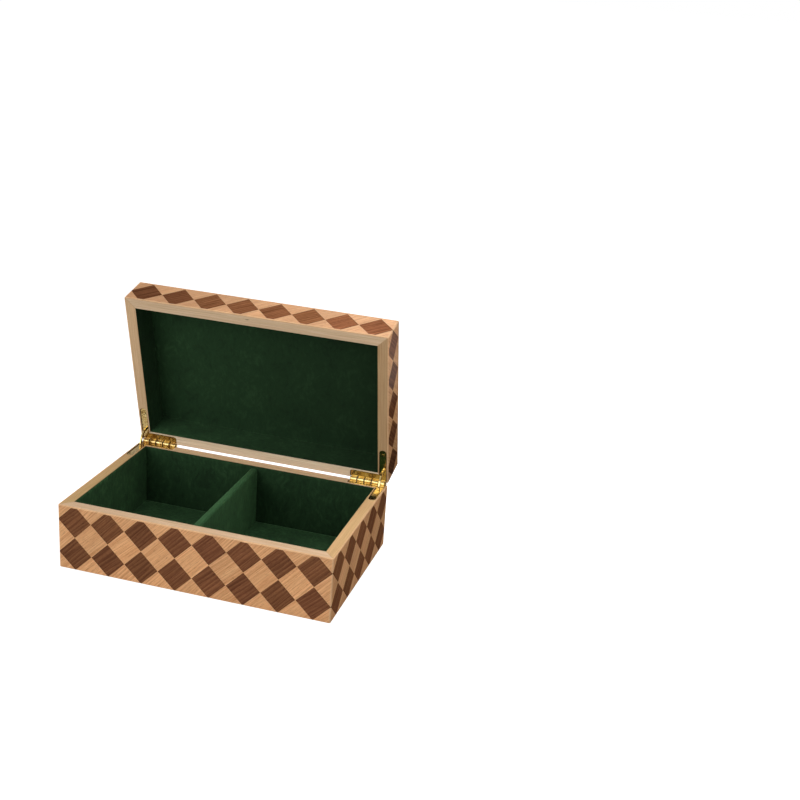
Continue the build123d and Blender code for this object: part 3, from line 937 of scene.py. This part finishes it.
for face in make_faces().values():
    paint(f"{face.name}_oak_veneer", oak_material(face))
    paint(f"{face.name}_walnut_inlay", walnut_material(face))
    if face.name != "lid_top":
        paint(f"{face.name}_wall", board_material(face))

thin_board = thin_board_material()
for node in ("base_floor_panel", "lid_top_panel", "divider_board"):
    paint(node, thin_board)

polished_brass = brass_material("polished_brass", None, PLAIN_TARNISH)
for side in ("left", "right"):
    for node in (f"{side}_hinge_pin", f"{side}_hinge_stay"):
        paint(node, polished_brass)
for leaf, body in (("lower", "base"), ("upper", "lid")):
    screw_brass = brass_material(f"{leaf}_screw_brass", body, PLAIN_TARNISH, SCREW_SHADE_SHARE)
    for side, tarnish_and_shade_share in LEAF_TARNISH_AND_SHADE[leaf].items():
        leaf_brass = brass_material(f"{side}_{leaf}_leaf_brass", body, tarnish_and_shade_share, LEAF_SHADE_SHARE)
        paint(f"{side}_hinge_{leaf}_leaf", leaf_brass)
        paint(f"{side}_hinge_{leaf}_screws", screw_brass)


# Suede

def grid_faces(rows, columns, wrap):
    """Quads of a grid of points counted row by row; with wrap the last column joins the first."""
    row = np.arange(rows - 1)[:, None] * columns
    column = np.arange(columns if wrap else columns - 1)[None, :]
    after = (column + 1) % columns
    corners = (row + column, row + after, row + columns + after, row + columns + column)
    return np.stack(corners, axis=-1).reshape(-1, 4).tolist()


def add_suede(points, faces_of_points, body, node):
    """Makes a suede piece from rest points and faces, in place of a CAD lining."""
    name = node.replace("_lining", "_suede")
    mesh = bpy.data.meshes.new(name)
    mesh.from_pydata(points.tolist(), [], faces_of_points)
    mesh.polygons.foreach_set("use_smooth", np.ones(len(mesh.polygons), bool))
    mesh.set_sharp_from_angle(angle=math.radians(SUEDE_SHARP_ANGLE))
    mesh.materials.append(suede_material(node))
    piece = bpy.data.objects.new(name, mesh)
    bpy.context.scene.collection.objects.link(piece)
    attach(piece, body)
    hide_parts(node)
    return piece


def mark_painted_light(piece, shares):
    """Keeps at each point of a suede piece its painted highlight, or painted shade where below 0."""
    piece.data.attributes.new("border", "FLOAT", "POINT").data.foreach_set("value", shares)


def edged_steps(length):
    """Places from 0 to a length, close together where the edges turn over and even in between."""
    edge = SUEDE_EDGE * MM
    turned = edge * np.array(SUEDE_EDGE_SHARES)
    count = max(SUEDE_FEWEST_STEPS, round((length - 2 * edge) / (SUEDE_GRID * MM)))
    return np.concatenate((turned, np.linspace(edge, length - edge, count), length - turned[::-1]))


def turned_height(distance, thickness):
    """Height of a turned border: partly upright, then a quarter of a sine up to the full thickness."""
    share = np.clip(distance / (SUEDE_EDGE * MM), 0.0, 1.0)
    crown = (1.0 - SUEDE_UPRIGHT_SHARE) * np.sin(0.5 * math.pi * share)
    return thickness * (SUEDE_UPRIGHT_SHARE + crown)


def mitred_height(distance, thickness):
    """Height of a mitred border: as high as it is far in, then a quarter of a sine up to the thickness."""
    upright = SUEDE_UPRIGHT_SHARE * thickness
    share = np.clip((distance - upright) / (SUEDE_EDGE * MM - upright), 0.0, 1.0)
    slope = np.clip(distance, SUEDE_FEATHER_SHARE * thickness, upright)
    return slope + (thickness - upright) * np.sin(0.5 * math.pi * share)


def suede_panel(node, body, facing, rim):
    """A suede covered card whose height follows its borders, the lowest of them counting: turned over
    all round, or, on a wall, turned at the rim, mitred at both ends and plain at the foot. Long low waves,
    products of sines that die away towards the borders, take a small share of the thickness away."""
    low, high = extent(body, [node], facing)
    size = high - low
    across, up = np.meshgrid(edged_steps(size.x), edged_steps(size.y))
    near_x = np.minimum(across, size.x - across)
    near_y = np.minimum(up, size.y - up)
    if rim is None:
        height = np.minimum(turned_height(near_x, size.z), turned_height(near_y, size.z))
    else:
        to_rim = size.y - up if rim == "high" else up
        height = np.minimum(mitred_height(near_x, size.z), turned_height(to_rim, size.z))
    phase = PANEL_PHASE * len(node)
    wave_x, wave_y = (length * MM for length in PANEL_WAVES)
    wave = np.sin(across / wave_x + phase) * np.sin(up / wave_y + 2.0 * phase)
    calm = np.clip(np.minimum(near_x, near_y) / (SUEDE_CALM * MM), 0.0, 1.0)
    proud = height - size.z * SUEDE_WAVE_SHARE * (0.5 + 0.5 * wave) * calm
    surface_points = np.stack((low.x + across, low.y + up, low.z + proud), axis=-1).reshape(-1, 3)
    rows, columns = across.shape
    index = np.arange(rows * columns).reshape(rows, columns)
    border = np.concatenate((index[0, :-1], index[:-1, -1], index[-1, :0:-1], index[:0:-1, 0]))
    foot_points = surface_points[border] * (1.0, 1.0, 0.0) + (0.0, 0.0, low.z)
    foot = rows * columns + np.arange(border.size)
    skirt = np.stack((foot, np.roll(foot, -1), np.roll(border, -1), border), axis=-1)
    quads = grid_faces(rows, columns, wrap=False) + skirt.tolist() + [foot[::-1].tolist()]
    points = moved(np.concatenate((surface_points, foot_points)), REST[body] @ facing)
    piece = add_suede(points, quads, body, node)
    if rim is None:
        # Painted highlight along the panel's turned borders
        edge_highlight = np.exp(-np.minimum(near_x, near_y) / (SUEDE_HIGHLIGHT_WIDTH * MM)).ravel()
        mark_painted_light(piece, np.concatenate((edge_highlight, np.ones(border.size))))


def divider_cover():
    """Suede folded over the divider: an upright profile with a round top, down both sides and back along
    the board, carried from front to back. A product of a sine and a cosine, and a shorter sine, pull its
    faces in and its crest down by a small share of its thickness."""
    low, high = extent("base", ["divider_lining"], FACING_UP)
    board_low, board_high = extent("base", ["divider_board"], FACING_UP)
    thickness = board_low.x - low.x
    middle = 0.5 * (low.x + high.x)
    half = high.x - middle
    radius = DIVIDER_BEND * thickness
    bend = np.linspace(0.0, 0.5 * math.pi, DIVIDER_BEND_STEPS)
    rise = np.linspace(low.z, high.z - radius, DIVIDER_RISE_STEPS)
    left_x = np.concatenate((np.full(rise.shape, -half), radius * (1.0 - np.cos(bend)) - half))
    left_z = np.concatenate((rise, high.z - radius * (1.0 - np.sin(bend))))
    inner_x = np.array((half - thickness, half - thickness, thickness - half, thickness - half))
    inner_z = np.array((low.z, board_high.z, board_high.z, low.z))
    profile_x = np.concatenate((left_x, -left_x[::-1], inner_x))
    profile_z = np.concatenate((left_z, left_z[::-1], inner_z))
    outer = np.concatenate((np.ones(2 * left_x.size), np.zeros(inner_x.size)))
    along = np.linspace(low.y, high.y, round((high.y - low.y) / (SUEDE_GRID * MM)))[:, None]
    height_share = (profile_z - low.z) / (high.z - low.z)
    long_wave, upright_wave, short_wave = (length * MM for length in DIVIDER_WAVES)
    broad = np.sin(along / long_wave) * np.cos(profile_z / upright_wave)
    wave = broad + np.sin(along / short_wave + DIVIDER_PHASE)
    pulled = SUEDE_WAVE_SHARE * thickness * (0.5 + 0.25 * wave) * outer
    x = middle + profile_x - np.sign(profile_x) * pulled
    z = profile_z - pulled * height_share
    points = np.stack((x, np.broadcast_to(along, x.shape), z), axis=-1).reshape(-1, 3)
    rows, columns = x.shape
    quads = [quad[::-1] for quad in grid_faces(rows, columns, wrap=True)]
    first = np.arange(columns)
    ends = [first.tolist(), (first[::-1] + (rows - 1) * columns).tolist()]
    piece = add_suede(points, quads + ends, "base", "divider_lining")
    # Painted shade on the divider's round crest
    crest_shade = SUEDE_CREST_SHADE * np.clip((z - high.z + radius) / radius, 0.0, 1.0).ravel()
    mark_painted_light(piece, -crest_shade)


# Each body's flat panel, the way its lining faces, and which edge of a wall's lining is the rim
LININGS = (
    ("base", "floor", FACING_UP, "high"),
    ("lid", "top", FACING_DOWN, "low"),
)
for body, panel, facing, rim in LININGS:
    for side in SIDE_TURNS:
        suede_panel(f"{body}_{side}_lining", body, facing_in(side), rim)
    suede_panel(f"{body}_{panel}_lining", body, facing, None)
divider_cover()


# Studio

def seen_rays(wires):
    """1 for rays that look straight at the background, a share for reflections, 0 for rays that light."""
    path = wires.node("LightPath").outputs
    glossy = wires.scaled(path["Is Glossy Ray"], BACKGROUND_GLOSS_SHARE)
    return wires.most(path["Is Camera Ray"], path["Is Transmission Ray"], glossy)


def add_floor():
    """A pale floor: it bounces some light, looks white to the camera and keeps the box's shadow."""
    corners = FLOOR_REACH * np.array(((-1, -1, 0), (1, -1, 0), (1, 1, 0), (-1, 1, 0)), float)
    mesh = bpy.data.meshes.new("floor")
    mesh.from_pydata(corners.tolist(), [], [(0, 1, 2, 3)])
    material, wires = new_material("floor_white")
    bounce = wires.node("BsdfDiffuse", {"Color": FLOOR_GREY}).outputs[0]
    glow = wires.node("Emission", {"Strength": FLOOR_GLOW}).outputs[0]
    bright = wires.node("AddShader", {0: bounce, 1: glow}).outputs[0]
    shader = wires.node("MixShader", {0: seen_rays(wires), 1: bounce, 2: bright}).outputs[0]
    wires.node("OutputMaterial", {"Surface": shader})
    mesh.materials.append(material)
    floor = bpy.data.objects.new("floor", mesh)
    bpy.context.scene.collection.objects.link(floor)


def add_sky():
    """An even sky that lights softly and looks white."""
    world = bpy.data.worlds.new("sky")
    world.use_nodes = True
    world.node_tree.nodes.clear()
    wires = Wiring(world.node_tree)
    level = wires.scaled(seen_rays(wires), 1.0 - SKY_LEVEL, SKY_LEVEL)
    background = wires.node("Background", {"Strength": level, "Color": SKY_WHITE}).outputs[0]
    wires.node("OutputWorld", {"Surface": background})
    bpy.context.scene.world = world


def add_softbox(softbox):
    """A square area light, with a honeycomb in front where its spread is narrow."""
    light = bpy.data.lights.new(softbox.name, "AREA")
    light.size = softbox.size
    light.spread = math.radians(softbox.spread)
    light.energy = softbox.power
    lamp = bpy.data.objects.new(softbox.name, light)
    lamp.location = softbox.place
    aim = Vector(softbox.target) - Vector(softbox.place)
    lamp.rotation_mode = "QUATERNION"
    lamp.rotation_quaternion = aim.to_track_quat("-Z", "Y")
    lamp.visible_camera = False
    bpy.context.scene.collection.objects.link(lamp)


def add_camera():
    """The camera at the photograph's viewing angle."""
    azimuth, elevation = math.radians(CAMERA_AZIMUTH), math.radians(CAMERA_ELEVATION)
    ahead = Vector((
        -math.sin(azimuth) * math.cos(elevation),
        math.cos(azimuth) * math.cos(elevation),
        -math.sin(elevation),
    ))
    data = bpy.data.cameras.new("camera")
    data.sensor_width = CAMERA_SENSOR
    data.lens = CAMERA_LENS
    camera = bpy.data.objects.new("camera", data)
    level = ahead.to_track_quat("-Z", "Y").to_matrix().to_4x4()
    roll = Matrix.Rotation(math.radians(CAMERA_ROLL), 4, "Z")
    camera.matrix_world = Matrix.Translation(CAMERA_PLACE) @ level @ roll
    bpy.context.scene.collection.objects.link(camera)
    bpy.context.scene.camera = camera


add_floor()
add_sky()
for softbox in SOFTBOXES:
    add_softbox(softbox)
add_camera()
bpy.context.scene.view_settings.view_transform = "Standard"
